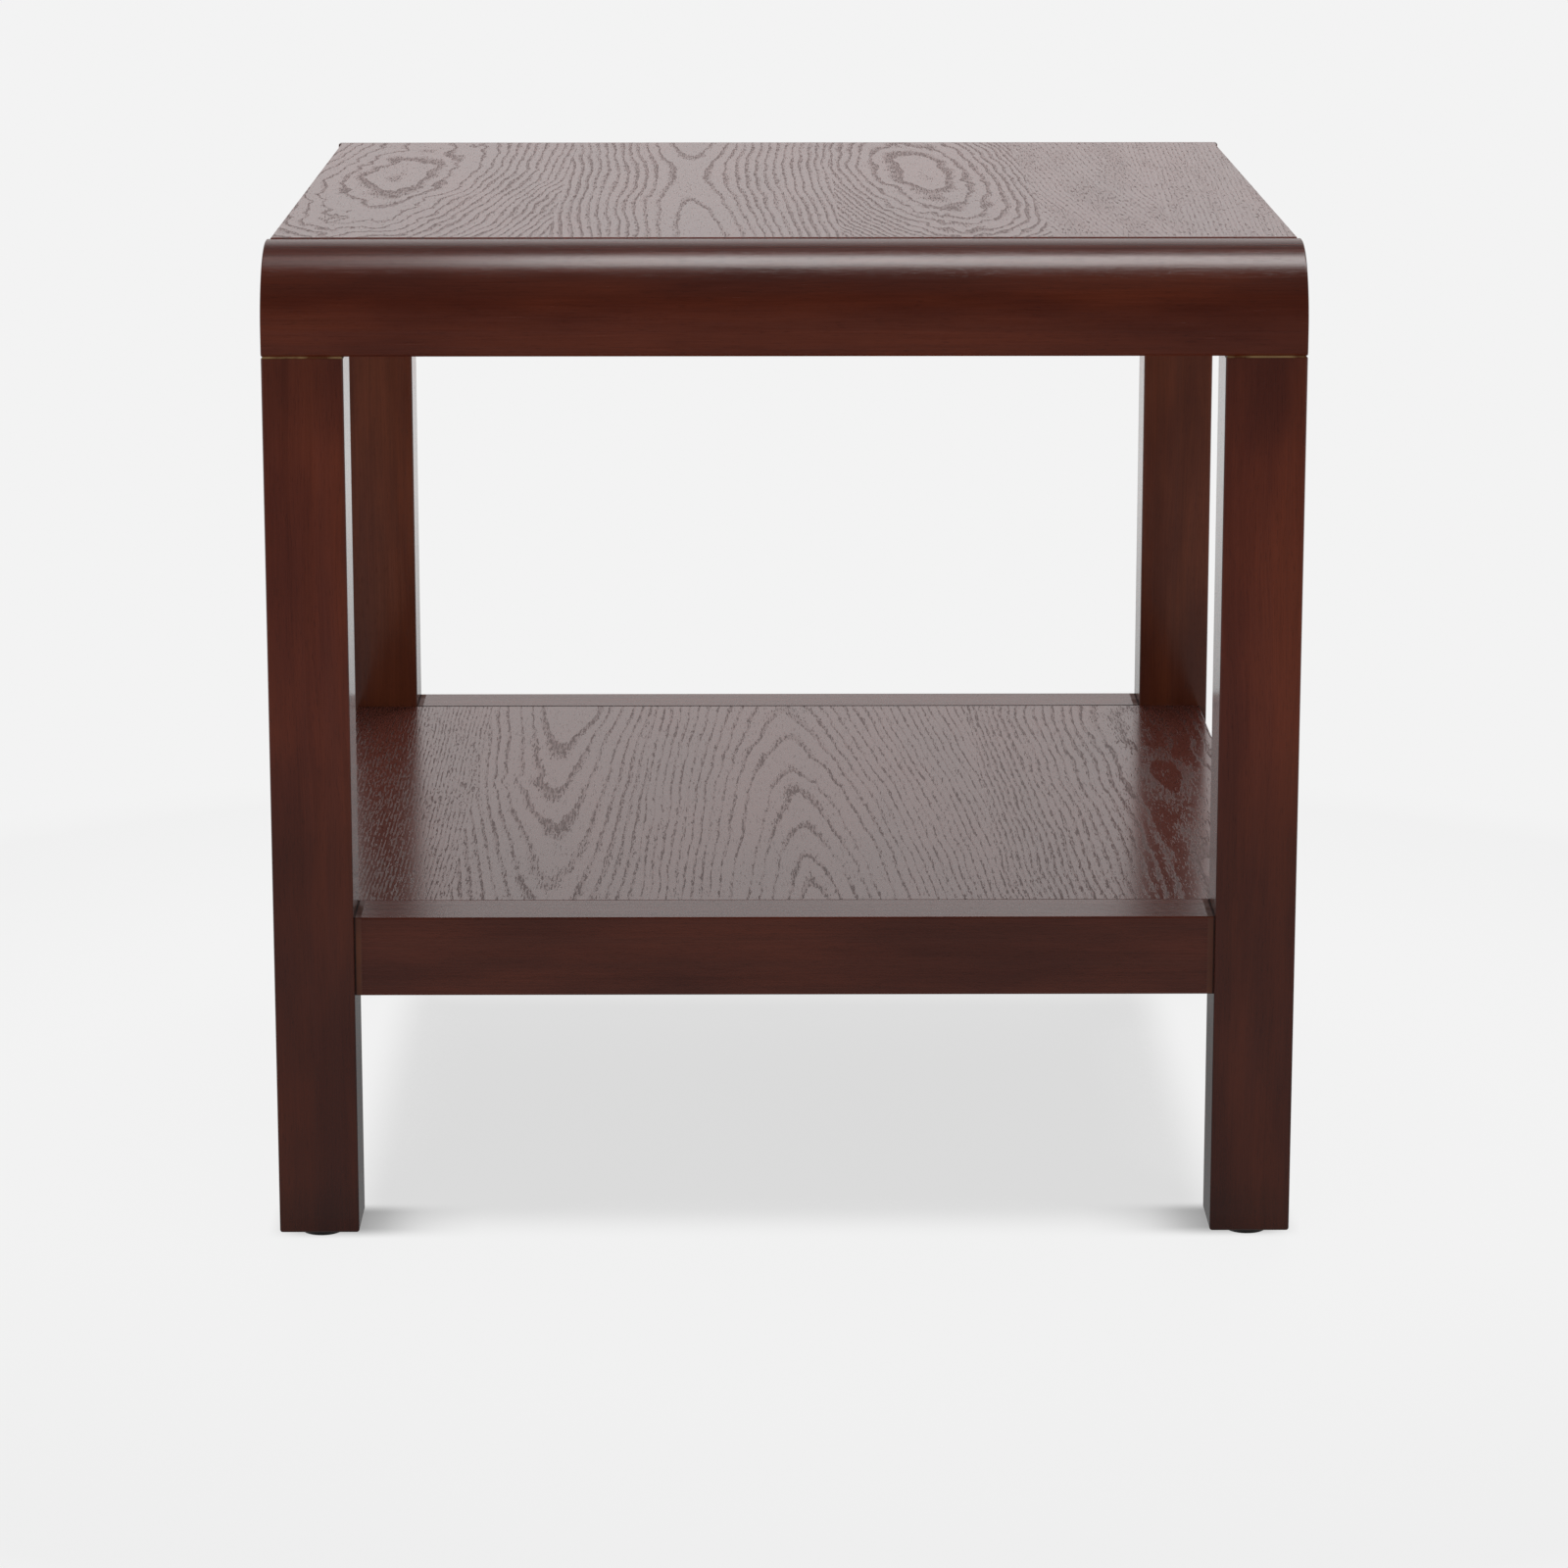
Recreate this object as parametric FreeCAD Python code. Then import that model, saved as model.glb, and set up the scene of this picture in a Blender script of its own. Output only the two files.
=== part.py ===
import FreeCAD, Part
import math
import os

# End table with a lower shelf, in stained wood and veneered board.
# Millimetres. +Z is up, -Y is the front, and the origin is on the floor under the middle.

Vector = FreeCAD.Vector
X_AXIS = Vector(1, 0, 0)
Y_AXIS = Vector(0, 1, 0)
Z_AXIS = Vector(0, 0, 1)

# Overall size
width = 560.0  # over the legs, and over the ends of the top rails
depth = 610.0  # over the front and back faces of the top rails
height = 552.0  # floor to the face of the top panel

# Legs: square posts that end under the top rails
leg_side = 44.0
leg_edge_round = 1.5  # upright edges and the edges of the foot
joint_chamfer = 1.2  # bevel on both sides of the joint between a leg and its top rail

# Top rails: the rounded front and back edges of the top
rail_depth = 50.0
rail_height = 57.4
rail_nose_radius = 44.0  # the rounding over the upper outer edge
rail_nose_flat = 2.0  # least flat left beside the rounding
rail_end_round = 0.8
seam_chamfer = 1.0  # bevel along the seam between a top rail and the panel
panel_rise = 0.6  # face of the panel above the top rails, so that its edge shows as a fine line

# Panels: veneered board with a solid lipping on the two side edges
core_thickness = 17.4
veneer_thickness = 0.6
veneer_bevel = 0.3
lipping_thickness = 6.0
top_side_inset = 2.2  # side edges of the top, in from the ends of the rails

# Aprons: the side members under the top
apron_thickness = 20.0
apron_inset = 10.0  # outer face, in from the outer faces of the legs
apron_lift = 3.0  # lower edge, up from the underside of the top rails

# Corner blocks under the top
block_side = 32.0
block_height = 28.0
block_bevel = 4.0
block_panel_screw_inset = 10.0  # from the apron and from the rail
block_side_screw_edge = 9.0  # side screws, in from the free faces of the block
block_screw_stagger = 10.0  # how far the rail screw passes above the apron screw

# Shelf
shelf_top = 184.0  # floor to the top of the shelf
shelf_rail_height = 44.0
shelf_rail_recess = 4.0  # front and back rails, in from the faces of the legs
shelf_rail_round = 1.0
shelf_seam_chamfer = 0.6
shelf_side_inset = 5.0  # side edges of the shelf, in from the outer faces of the legs
shelf_bearer_thickness = 20.0
shelf_bearer_inset = 9.0  # outer face, in from the outer faces of the legs
shelf_bearer_lift = 2.0  # lower edge, up from the underside of the shelf rails

# Dowels
dowel_radius = 4.0
dowel_length = 30.0
dowel_bevel = 0.8
dowel_fit = 0.05  # play round a dowel
glue_room = 1.0  # left at each end of a dowel
leg_dowel_radius = 5.0
leg_dowel_length = 50.0
leg_dowel_setback = 18.0  # in from the outer face of the leg
leg_dowel_spacing = 20.0
apron_dowel_spacing = 18.0
shelf_rail_dowel_spacing = 18.0
shelf_rail_dowel_drop = 14.0  # down from the top of the shelf
panel_dowel_pitch = 100.0
top_dowel_inset = 70.0  # last dowel, in from the side edge of the top
shelf_dowel_inset = 40.0  # last dowel, in from the leg

# Countersunk wood screws
screw_head_radius = 4.0
screw_head_height = 2.4
screw_rim = 0.4
screw_shank_radius = 2.0
screw_tip = 4.0
screw_bite = 12.0  # length inside a rail or an apron
panel_screw_bite = 10.0  # length inside a panel
screw_sink = 0.4  # head below the surface
screw_fit = 0.05
cross_slot_length = 4.0
cross_slot_width = 0.8
cross_slot_depth = 1.4
shelf_screw_pitch = 150.0
shelf_screw_inset = 90.0  # last screw, in from the leg

# Glides: nailed pads under the legs
glide_radius = 12.0
glide_height = 5.0
glide_bevel = 1.0
nail_head_radius = 4.0
nail_head_thickness = 1.0
nail_head_play = 0.8  # round the head, in its hollow
nail_head_sink = 1.5  # head up from the floor
nail_shank_radius = 1.1
nail_bite = 14.0  # length inside the leg
nail_tip = 3.0
nail_fit = 0.05

# Levels and planes that several pieces share
half_width = width / 2
half_depth = depth / 2
panel_thickness = core_thickness + veneer_thickness
rail_top = height - panel_rise
rail_bottom = rail_top - rail_height
rail_inner = half_depth - rail_depth
top_bottom = height - panel_thickness
top_side = half_width - top_side_inset
leg_inner_x = half_width - leg_side
leg_inner_y = half_depth - leg_side
leg_middle_x = half_width - leg_side / 2
leg_middle_y = half_depth - leg_side / 2
apron_outer = half_width - apron_inset
apron_inner = apron_outer - apron_thickness
apron_bottom = rail_bottom + apron_lift
apron_middle_x = apron_outer - apron_thickness / 2
apron_middle_z = (apron_bottom + top_bottom) / 2
block_bottom = top_bottom - block_height
shelf_bottom = shelf_top - panel_thickness
shelf_rail_bottom = shelf_top - shelf_rail_height
shelf_rail_outer = half_depth - shelf_rail_recess
shelf_rail_middle = (shelf_rail_outer + leg_inner_y) / 2
shelf_side = half_width - shelf_side_inset
bearer_outer = half_width - shelf_bearer_inset
bearer_inner = bearer_outer - shelf_bearer_thickness
bearer_bottom = shelf_rail_bottom + shelf_bearer_lift
bearer_middle_x = bearer_outer - shelf_bearer_thickness / 2
bearer_middle_z = (bearer_bottom + shelf_bottom) / 2

SIDES = {"left": -1, "right": 1}
ENDS = {"front": -1, "back": 1}
CORNERS = {f"{end}_{side}": (sx, sy) for end, sy in ENDS.items() for side, sx in SIDES.items()}


def box(x_range, y_range, z_range):
    """An upright box between three pairs of planes, given in either order."""
    low = Vector(min(x_range), min(y_range), min(z_range))
    high = Vector(max(x_range), max(y_range), max(z_range))
    size = high - low
    return Part.makeBox(size.x, size.y, size.z, low)


def edges_at(shape, x=None, y=None, z=None):
    """The edges that lie wholly at the given positions along X, Y or Z."""
    def lies_there(edge):
        offsets = [value - place
                   for vertex in edge.Vertexes
                   for value, place in zip(vertex.Point, (x, y, z))
                   if place is not None]
        return all(abs(offset) < 0.001 for offset in offsets)
    return [edge for edge in shape.Edges if lies_there(edge)]


def turned(outline):
    """A turned solid from the (radius, height) corners of half its section. Its axis is Z."""
    points = [Vector(radius, 0, level) for radius, level in outline]
    face = Part.Face(Part.makePolygon(points + points[:1]))
    return face.revolve(Vector(0, 0, 0), Z_AXIS, 360)


def placed(shape, point, axis):
    """The shape with its own origin at a point and its own Z along an axis."""
    moved = shape.copy()
    moved.Placement = FreeCAD.Placement(point, FreeCAD.Rotation(Z_AXIS, axis))
    return moved


def even_row(half_span, pitch):
    """Positions spread evenly from -half_span to half_span, about a pitch apart."""
    gaps = max(1, round(2 * half_span / pitch))
    return [half_span * (2 * number / gaps - 1) for number in range(gaps + 1)]


def drilled(blank, bores):
    """The blank with every bore that reaches it cut out, as one solid."""
    reaching = [bore for bore in bores if blank.BoundBox.intersect(bore.BoundBox)]
    return blank.cut(tuple(reaching)).Solids[0] if reaching else blank.Solids[0]


def dowel_blank(radius, length, bevel):
    """A dowel, or the bore for one where the bevel is 0, centred on its own origin."""
    half = length / 2
    if bevel == 0:
        return Part.makeCylinder(radius, length, Vector(0, 0, -half))
    slim = radius - bevel
    return turned([(0, -half), (slim, -half), (radius, bevel - half),
                   (radius, half - bevel), (slim, half), (0, half)])


def dowels_and_bores(points, axis, radius=dowel_radius, length=dowel_length):
    """Dowels that cross a joint at the given points, and the bores that take them."""
    dowel = dowel_blank(radius, length, dowel_bevel)
    bore = dowel_blank(radius + dowel_fit, length + 2 * glue_room, 0)
    return [[placed(shape, point, axis) for point in points] for shape in (dowel, bore)]


def screw_outline(length, play, start):
    """Half the outline of a countersunk screw, grown all round by its play."""
    head = screw_head_radius + play
    shank = screw_shank_radius + play
    end = length + play
    return [(0, start), (head, start), (head, screw_rim), (shank, screw_head_height),
            (shank, end - screw_tip), (0, end)]


def screws_and_bores(seats, length):
    """Screws driven in at the seats, (point on the surface, axis), and their bores."""
    slot = [box((-long / 2, long / 2), (-wide / 2, wide / 2), (0, cross_slot_depth))
            for long, wide in ((cross_slot_length, cross_slot_width),
                               (cross_slot_width, cross_slot_length))]
    screw = turned(screw_outline(length, 0, 0)).cut(tuple(slot)).Solids[0]
    bore = turned(screw_outline(length, screw_fit, -screw_sink))
    return [[placed(shape, point + axis * screw_sink, axis) for point, axis in seats]
            for shape in (screw, bore)]


def leg_blank(sx, sy):
    """A leg from its glide to its top rail, eased all round and bevelled at the joint."""
    inner_x, outer_x = sx * leg_inner_x, sx * half_width
    inner_y, outer_y = sy * leg_inner_y, sy * half_depth
    square = box((inner_x, outer_x), (inner_y, outer_y), (glide_height, rail_bottom))
    uprights = [edge for x in (inner_x, outer_x) for y in (inner_y, outer_y)
                for edge in edges_at(square, x=x, y=y)]
    post = square.makeFillet(leg_edge_round, uprights + edges_at(square, z=glide_height))
    bevelled = square.makeChamfer(joint_chamfer, edges_at(square, z=rail_bottom))
    return post.common(bevelled)


def top_rail_blank(sy):
    """A top rail: a straight length with a quarter-round nose over its outer upper edge."""
    nose = min(rail_nose_radius, rail_depth - seam_chamfer - rail_nose_flat,
               rail_height - joint_chamfer - rail_nose_flat)
    slant = nose * math.sqrt(0.5)

    def at(inward, level):
        return Vector(-half_width, sy * (half_depth - inward), level)

    corners = [at(nose, rail_top),
               at(rail_depth - seam_chamfer, rail_top),
               at(rail_depth, rail_top - seam_chamfer),
               at(rail_depth, rail_bottom + joint_chamfer),
               at(rail_depth - joint_chamfer, rail_bottom),
               at(joint_chamfer, rail_bottom),
               at(0, rail_bottom + joint_chamfer),
               at(0, rail_top - nose)]
    rounding = Part.Arc(corners[-1], at(nose - slant, rail_top - nose + slant), corners[0]).toShape()
    section = Part.Wire(Part.makePolygon(corners).Edges + [rounding])
    rail = Part.Face(section).extrude(X_AXIS * width)
    ends = edges_at(rail, x=-half_width) + edges_at(rail, x=half_width)
    return rail.makeFillet(rail_end_round, ends)


def panel_blanks(side, edge, top):
    """A core, its face veneer and its two side lippings for a panel with its face at top."""
    board_top = top - veneer_thickness
    levels = (top - panel_thickness, board_top)
    core_side = side - lipping_thickness
    core = box((-core_side, core_side), (-edge, edge), levels)
    veneer = box((-side, side), (-edge, edge), (board_top, top))
    veneer = veneer.makeChamfer(veneer_bevel, edges_at(veneer, z=top))
    lippings = {name: box((sx * core_side, sx * side), (-edge, edge), levels)
                for name, sx in SIDES.items()}
    return core, veneer, lippings


def corner_block_blank(sx, sy):
    """A square block in the corner between an apron and a top rail, under the panel."""
    free_x = sx * (apron_inner - block_side)
    free_y = sy * (rail_inner - block_side)
    block = box((sx * apron_inner, free_x), (sy * rail_inner, free_y), (block_bottom, top_bottom))
    return block.makeChamfer(block_bevel, edges_at(block, x=free_x, y=free_y))


def shelf_rail_blank(sy):
    """A shelf rail between two legs, eased outside and bevelled along its seam."""
    inner, outer = sy * leg_inner_y, sy * shelf_rail_outer
    rail = box((-leg_inner_x, leg_inner_x), (inner, outer), (shelf_rail_bottom, shelf_top))
    eased = edges_at(rail, y=outer, z=shelf_top) + edges_at(rail, y=outer, z=shelf_rail_bottom)
    rail = rail.makeFillet(shelf_rail_round, eased)
    return rail.makeChamfer(shelf_seam_chamfer, edges_at(rail, y=inner, z=shelf_top))


def glide_blank():
    """A round pad from the floor up, hollowed for the head of its nail."""
    rim = glide_radius - glide_bevel
    hollow = nail_head_radius + nail_head_play
    hollow_top = nail_head_sink + nail_head_thickness
    hole = nail_shank_radius + nail_fit
    return turned([(hollow, 0), (rim, 0), (glide_radius, glide_bevel),
                   (glide_radius, glide_height), (hole, glide_height),
                   (hole, hollow_top), (hollow, hollow_top)])


def nail_blank(play):
    """The nail of a glide, or its bore in the leg, measured from the floor."""
    head_top = nail_head_sink + nail_head_thickness
    shank = nail_shank_radius + play
    end = glide_height + nail_bite + play
    return turned([(0, nail_head_sink), (nail_head_radius, nail_head_sink),
                   (nail_head_radius, head_top), (shank, head_top), (shank, end - nail_tip), (0, end)])


# Dowels: each list holds the pieces, then the bores that take them
leg_dowel_points = [Vector(sx * leg_middle_x + step * leg_dowel_spacing / 2,
                           sy * (half_depth - leg_dowel_setback), rail_bottom)
                    for sx, sy in CORNERS.values() for step in (-1, 1)]
leg_dowels, leg_dowel_bores = dowels_and_bores(leg_dowel_points, Z_AXIS,
                                               leg_dowel_radius, leg_dowel_length)

top_core_middle = top_bottom + core_thickness / 2
top_dowel_points = [Vector(x, sy * rail_inner, top_core_middle)
                    for sy in ENDS.values() for x in even_row(top_side - top_dowel_inset, panel_dowel_pitch)]
top_dowels, top_dowel_bores = dowels_and_bores(top_dowel_points, Y_AXIS)

apron_dowel_points = [Vector(sx * apron_middle_x, sy * rail_inner,
                             apron_middle_z + step * apron_dowel_spacing / 2)
                      for sx, sy in CORNERS.values() for step in (-1, 1)]
apron_dowels, apron_dowel_bores = dowels_and_bores(apron_dowel_points, Y_AXIS)

shelf_rail_dowel_points = [Vector(sx * leg_inner_x,
                                  sy * shelf_rail_middle + step * shelf_rail_dowel_spacing / 2,
                                  shelf_top - shelf_rail_dowel_drop)
                           for sx, sy in CORNERS.values() for step in (-1, 1)]
shelf_rail_dowels, shelf_rail_dowel_bores = dowels_and_bores(shelf_rail_dowel_points, X_AXIS)

bearer_dowel_points = [Vector(sx * bearer_middle_x, sy * leg_inner_y, bearer_middle_z)
                       for sx, sy in CORNERS.values()]
bearer_dowels, bearer_dowel_bores = dowels_and_bores(bearer_dowel_points, Y_AXIS)

shelf_core_middle = shelf_bottom + core_thickness / 2
shelf_dowel_points = [Vector(x, sy * leg_inner_y, shelf_core_middle)
                      for sy in ENDS.values()
                      for x in even_row(leg_inner_x - shelf_dowel_inset, panel_dowel_pitch)]
shelf_dowels, shelf_dowel_bores = dowels_and_bores(shelf_dowel_points, Y_AXIS)

# Screws: up into the panels, and out of the corner blocks into the rails and aprons
panel_screw_x = apron_inner - block_panel_screw_inset
panel_screw_y = rail_inner - block_panel_screw_inset
top_screw_seats = [(Vector(sx * panel_screw_x, sy * panel_screw_y, block_bottom), Z_AXIS)
                   for sx, sy in CORNERS.values()]
top_screws, top_screw_bores = screws_and_bores(top_screw_seats, block_height + panel_screw_bite)

block_free_x = apron_inner - block_side
block_free_y = rail_inner - block_side
block_screw_seats = []
for sx, sy in CORNERS.values():
    rail_seat = Vector(sx * (block_free_x + block_side_screw_edge), sy * block_free_y,
                       apron_middle_z + block_screw_stagger)
    apron_seat = Vector(sx * block_free_x, sy * (block_free_y + block_side_screw_edge), apron_middle_z)
    block_screw_seats.append((rail_seat, Y_AXIS * sy))
    block_screw_seats.append((apron_seat, X_AXIS * sx))
block_screws, block_screw_bores = screws_and_bores(block_screw_seats, block_side + screw_bite)

bearer_height = shelf_bottom - bearer_bottom
shelf_screw_seats = [(Vector(sx * bearer_middle_x, y, bearer_bottom), Z_AXIS)
                     for sx in SIDES.values()
                     for y in even_row(leg_inner_y - shelf_screw_inset, shelf_screw_pitch)]
shelf_screws, shelf_screw_bores = screws_and_bores(shelf_screw_seats, bearer_height + panel_screw_bite)

# Glides and nails
glide_points = {name: Vector(sx * leg_middle_x, sy * leg_middle_y, 0)
                for name, (sx, sy) in CORNERS.items()}
nails = [placed(nail_blank(0), point, Z_AXIS) for point in glide_points.values()]
nail_bores = [placed(nail_blank(nail_fit), point, Z_AXIS) for point in glide_points.values()]

bores = (leg_dowel_bores + top_dowel_bores + apron_dowel_bores + shelf_rail_dowel_bores
         + bearer_dowel_bores + shelf_dowel_bores + top_screw_bores + block_screw_bores
         + shelf_screw_bores + nail_bores)

# Every node: one solid, or a group of like fasteners
nodes = {}

for name, (sx, sy) in CORNERS.items():
    nodes[f"leg_{name}"] = drilled(leg_blank(sx, sy), bores)
    nodes[f"glide_{name}"] = placed(glide_blank(), glide_points[name], Z_AXIS)
    nodes[f"corner_block_{name}"] = drilled(corner_block_blank(sx, sy), bores)

for name, sy in ENDS.items():
    nodes[f"top_rail_{name}"] = drilled(top_rail_blank(sy), bores)
    nodes[f"shelf_rail_{name}"] = drilled(shelf_rail_blank(sy), bores)

for name, sx in SIDES.items():
    apron = box((sx * apron_inner, sx * apron_outer), (-rail_inner, rail_inner),
                (apron_bottom, top_bottom))
    bearer = box((sx * bearer_inner, sx * bearer_outer), (-leg_inner_y, leg_inner_y),
                 (bearer_bottom, shelf_bottom))
    nodes[f"apron_{name}"] = drilled(apron, bores)
    nodes[f"shelf_bearer_{name}"] = drilled(bearer, bores)

for panel, side, edge, top in (("top", top_side, rail_inner, height),
                               ("shelf", shelf_side, leg_inner_y, shelf_top)):
    core, veneer, lippings = panel_blanks(side, edge, top)
    nodes[f"{panel}_panel_core"] = drilled(core, bores)
    nodes[f"{panel}_panel_veneer"] = veneer
    for name, lipping in lippings.items():
        nodes[f"{panel}_lipping_{name}"] = lipping

fasteners = {"leg_dowels": leg_dowels,
             "top_panel_dowels": top_dowels,
             "apron_dowels": apron_dowels,
             "shelf_rail_dowels": shelf_rail_dowels,
             "shelf_bearer_dowels": bearer_dowels,
             "shelf_panel_dowels": shelf_dowels,
             "top_panel_screws": top_screws,
             "corner_block_screws": block_screws,
             "shelf_panel_screws": shelf_screws,
             "glide_nails": nails}
for name, pieces in fasteners.items():
    nodes[name] = Part.makeCompound(pieces)

os.makedirs("parts", exist_ok=True)
for name, shape in nodes.items():
    shape.exportStep(f"parts/{name}.step")
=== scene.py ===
import logging
import math
from dataclasses import dataclass, replace
from enum import Enum

import bpy
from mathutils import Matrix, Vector

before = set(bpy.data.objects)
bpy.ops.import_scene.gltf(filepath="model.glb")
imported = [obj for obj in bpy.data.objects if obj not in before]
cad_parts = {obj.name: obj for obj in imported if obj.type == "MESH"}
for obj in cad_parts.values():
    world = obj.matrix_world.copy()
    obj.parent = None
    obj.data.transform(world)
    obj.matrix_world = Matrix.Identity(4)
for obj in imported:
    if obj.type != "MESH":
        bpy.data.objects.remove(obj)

logging.basicConfig(level=logging.INFO, format="%(message)s")
LOG = logging.getLogger("end_table")

MM_PER_METRE = 1000.0
LEG_PLACES = ("front_left", "front_right", "back_left", "back_right")

Triple = tuple[float, float, float]
Colour = Triple
Socket = bpy.types.NodeSocket
Value = Socket | float
Shade = Socket | Colour
Pair = tuple[float, float]
Points = tuple[Pair, ...]


class GrainAxis(Enum):
    """The way the fibres of a piece run: (first cross axis, second cross axis, long axis)."""

    ACROSS_TABLE = ("Y", "Z", "X")
    FRONT_TO_BACK = ("X", "Z", "Y")
    UPRIGHT = ("X", "Y", "Z")


class ShaderGraph:
    """A material or world under construction, with short calls for the nodes that it needs."""

    mm: dict[str, Socket]
    place: tuple[Socket, ...]

    def __init__(self, owner: bpy.types.Material | bpy.types.World) -> None:
        """Starts with no nodes but the output.

        Args:
            owner: The new material or world.
        """
        self.owner = owner
        owner.use_nodes = True
        self.tree = owner.node_tree
        self.tree.nodes.clear()
        is_world = isinstance(owner, bpy.types.World)
        self.output = self.node("ShaderNodeOutputWorld" if is_world else "ShaderNodeOutputMaterial")

    @classmethod
    def named(cls, name: str) -> "ShaderGraph":
        """Starts a new material and reads its place on the table.

        Args:
            name: The material's name.

        Returns:
            The nodes, with the millimetres along each axis as mm and all three together as place.
        """
        g = cls(bpy.data.materials.new(name))
        g.mm = g.place_mm()
        g.place = tuple(g.mm.values())
        return g

    def node(self, kind: str, **settings: object) -> bpy.types.Node:
        """Adds a node and sets its properties.

        Args:
            kind: The node's Blender type.
            **settings: Properties of the node, by name.

        Returns:
            The new node.
        """
        made = self.tree.nodes.new(kind)
        for name, value in settings.items():
            setattr(made, name, value)
        return made

    def feed(self, socket: Socket, value: object) -> None:
        """Links a socket to its source, or sets it where the source is a plain value.

        Args:
            socket: The input to fill.
            value: An output socket, a number or a tuple.
        """
        if isinstance(value, bpy.types.NodeSocket):
            self.tree.links.new(value, socket)
        elif isinstance(value, tuple) and len(value) == 3 and socket.type == "RGBA":
            socket.default_value = (*value, 1.0)
        else:
            socket.default_value = value

    def result(self, kind: str, values: tuple[object, ...], **settings: object) -> Socket:
        """Adds a node and fills its inputs in their order.

        Args:
            kind: The node's Blender type.
            values: What goes into its inputs.
            **settings: Properties of the node, by name.

        Returns:
            Its first output.
        """
        made = self.node(kind, **settings)
        for socket, value in zip(made.inputs, values):
            self.feed(socket, value)
        return made.outputs[0]

    def math(self, operation: str, first: Value, second: Value = 0.0, third: Value = 0.0) -> Socket:
        """Adds a Math node of a given operation."""
        return self.result("ShaderNodeMath", (first, second, third), operation=operation)

    def times(self, first: Value, second: Value) -> Socket:
        """Multiplies two values."""
        return self.math("MULTIPLY", first, second)

    def minus(self, first: Value, second: Value) -> Socket:
        """Takes the second value from the first."""
        return self.math("SUBTRACT", first, second)

    def apart(self, first: Value, second: Value) -> Socket:
        """Gives how far apart two values are."""
        return self.math("ABSOLUTE", self.minus(first, second))

    def ramp(self, value: Value, slope: Value, start: Value) -> Socket:
        """Multiplies a value by a slope and adds a start."""
        return self.math("MULTIPLY_ADD", value, slope, start)

    def held(self, value: Value, low: float, high: float) -> Socket:
        """Keeps a value between two limits."""
        return self.math("MINIMUM", self.math("MAXIMUM", value, low), high)

    def span(self, value: Value, low: float, high: float, start: Value = 0.0, end: Value = 1.0) -> Socket:
        """Maps a value smoothly from low and high to start and end, and holds it beyond them."""
        ends = (value, low, high, start, end)
        return self.result("ShaderNodeMapRange", ends, interpolation_type="SMOOTHSTEP")

    def point(self, x: Value, y: Value, z: Value) -> Socket:
        """Makes a vector of three values."""
        return self.result("ShaderNodeCombineXYZ", (x, y, z))

    def scaled(self, vector: Socket, factor: Value) -> Socket:
        """Multiplies every part of a vector or colour.

        Args:
            vector: The vector or colour.
            factor: What its parts are multiplied by.

        Returns:
            The changed vector or colour.
        """
        made = self.node("ShaderNodeVectorMath", operation="SCALE")
        self.feed(made.inputs[0], vector)
        self.feed(made.inputs["Scale"], factor)
        return made.outputs[0]

    def place_mm(self) -> dict[str, Socket]:
        """Gives the place on the table, in millimetres.

        Returns:
            The coordinate along each axis, by the axis's name.
        """
        coordinates = self.node("ShaderNodeTexCoord")
        split = self.node("ShaderNodeSeparateXYZ")
        self.feed(split.inputs[0], self.scaled(coordinates.outputs["Object"], MM_PER_METRE))
        return {axis: split.outputs[axis] for axis in ("X", "Y", "Z")}

    def stretched(
        self, place: tuple[Value, Value, Value], sizes: Triple, seed: float, detail: float = 2.0
    ) -> Socket:
        """Adds noise whose features have a size of their own along each axis.

        Args:
            place: The place in millimetres.
            sizes: The features' size along each axis, in millimetres.
            seed: A shift that gives this noise a pattern of its own.
            detail: How many finer layers it has.

        Returns:
            A value about 0.5.
        """
        spot = self.point(*(self.ramp(value, 1.0 / size, seed) for value, size in zip(place, sizes)))
        made = self.node("ShaderNodeTexNoise", noise_dimensions="3D")
        self.feed(made.inputs["Vector"], spot)
        made.inputs["Scale"].default_value = 1.0
        made.inputs["Detail"].default_value = detail
        made.inputs["Roughness"].default_value = 0.5
        return made.outputs["Fac"]

    def swing(self, place: tuple[Value, Value, Value], sizes: Triple, seed: float, detail: float) -> Socket:
        """Adds the same noise about 0."""
        return self.minus(self.stretched(place, sizes, seed, detail), 0.5)

    def blend(self, share: Value, first: Shade, second: Shade) -> Socket:
        """Mixes two colours.

        Args:
            share: How much of the second colour shows, from 0 to 1.
            first: The first colour.
            second: The second colour.

        Returns:
            The mixed colour.
        """
        made = self.node("ShaderNodeMix", data_type="RGBA", clamp_factor=True)
        self.feed(made.inputs["Factor"], share)
        self.feed(made.inputs[6], first)
        self.feed(made.inputs[7], second)
        return made.outputs[2]

    def choose(self, share: Value, first: Value, second: Value) -> Socket:
        """Mixes two values, as blend does two colours.

        Args:
            share: How much of the second value counts, from 0 to 1.
            first: The first value.
            second: The second value.

        Returns:
            The mixed value.
        """
        made = self.node("ShaderNodeMix", data_type="FLOAT", clamp_factor=True)
        self.feed(made.inputs[0], share)
        self.feed(made.inputs[2], first)
        self.feed(made.inputs[3], second)
        return made.outputs[0]

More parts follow.
